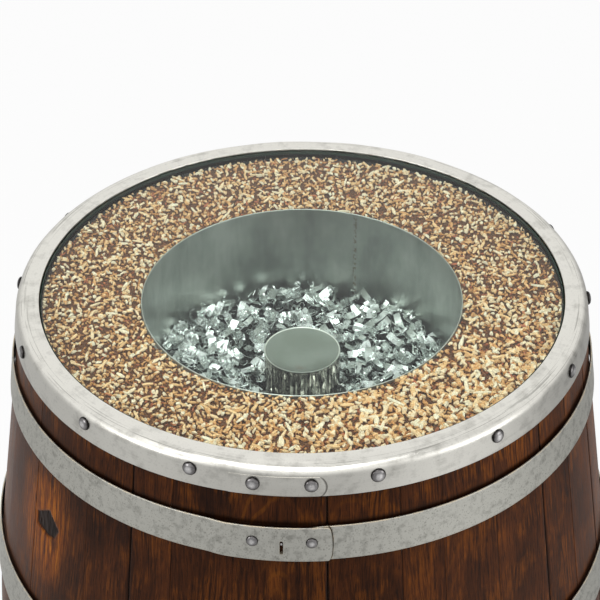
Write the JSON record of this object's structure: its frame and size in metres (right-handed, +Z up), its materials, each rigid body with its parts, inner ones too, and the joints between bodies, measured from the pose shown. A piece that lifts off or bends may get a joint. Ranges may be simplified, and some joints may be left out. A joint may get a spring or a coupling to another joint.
{
  "type": "wine barrel display table",
  "caption": "Stained oak barrel under steel hoops, its top a round glass sheet let in over wood chips and a sheet-steel tub of metal shavings.",
  "frame": {"origin": "middle of the foot, in the plane that the stave ends stand on", "axes": "+Z up through the middle of both heads, -Y towards the front, where the hoops are lapped, +Y towards the bung"},
  "size_m": [0.6735, 0.6791, 0.9503],
  "materials": {
    "stained_oak": "dark stained oak under semi-gloss lacquer",
    "head_oak": "raw sawn oak",
    "ring_steel": "galvanised steel, brushed bright",
    "hoop_steel": "weathered galvanised steel",
    "tub_steel": "cold-rolled sheet steel, satin",
    "can_steel": "polished stainless steel",
    "shavings_metal": "bright machined shavings",
    "chips_wood": "dry wood chips",
    "clear_glass": "clear float glass, ground edge",
    "bung_wood": "turned beech"
  },
  "bodies": {
    "barrel": {"stave_01": "stained_oak", "stave_02": "stained_oak", "stave_03": "stained_oak", "stave_04": "stained_oak", "stave_05": "stained_oak", "stave_06": "stained_oak", "stave_07": "stained_oak", "stave_08": "stained_oak", "stave_09": "stained_oak", "stave_10": "stained_oak", "stave_11": "stained_oak", "stave_12": "stained_oak", "stave_13": "stained_oak", "stave_14": "stained_oak", "stave_15": "stained_oak", "stave_16": "stained_oak", "stave_17": "stained_oak", "stave_18": "stained_oak", "stave_19": "stained_oak", "stave_20": "stained_oak", "stave_21": "stained_oak", "stave_22": "stained_oak", "stave_23": "stained_oak", "stave_24": "stained_oak", "stave_25": "stained_oak", "stave_26": "stained_oak", "stave_27": "stained_oak", "stave_28": "stained_oak", "stave_29": "stained_oak", "stave_30": "stained_oak", "top_chime_ring": "ring_steel", "top_quarter_hoop": "hoop_steel", "top_bilge_hoop": "hoop_steel", "bottom_bilge_hoop": "hoop_steel", "bottom_quarter_hoop": "hoop_steel", "bottom_chime_hoop": "hoop_steel", "top_head_board_1": "head_oak", "top_head_board_2": "head_oak", "top_head_board_3_left": "head_oak", "top_head_board_3_right": "head_oak", "top_head_board_4_left": "head_oak", "top_head_board_4_right": "head_oak", "top_head_board_5": "head_oak", "top_head_board_6": "head_oak", "bottom_head_board_1": "head_oak", "bottom_head_board_2": "head_oak", "bottom_head_board_3": "head_oak", "bottom_head_board_4": "head_oak", "bottom_head_board_5": "head_oak", "bottom_head_board_6": "head_oak", "wood_chips": "chips_wood", "tub": "tub_steel", "tub_bracket_1": "hoop_steel", "tub_bracket_2": "hoop_steel", "tub_bracket_3": "hoop_steel", "metal_shavings": "shavings_metal", "centre_can": "can_steel"},
    "glass": {"glass_top": "clear_glass"},
    "bung": {"bung": "bung_wood"}
  },
  "joints": [
    {"name": "glass_lift", "type": "slide", "parent": "barrel", "child": "glass", "axis": [0, 0, 1], "range_m": [0, 0.1]},
    {"name": "bung_pull", "type": "slide", "parent": "barrel", "child": "bung", "axis": [0, 1, 0], "range_m": [0, 0.05]}
  ]
}
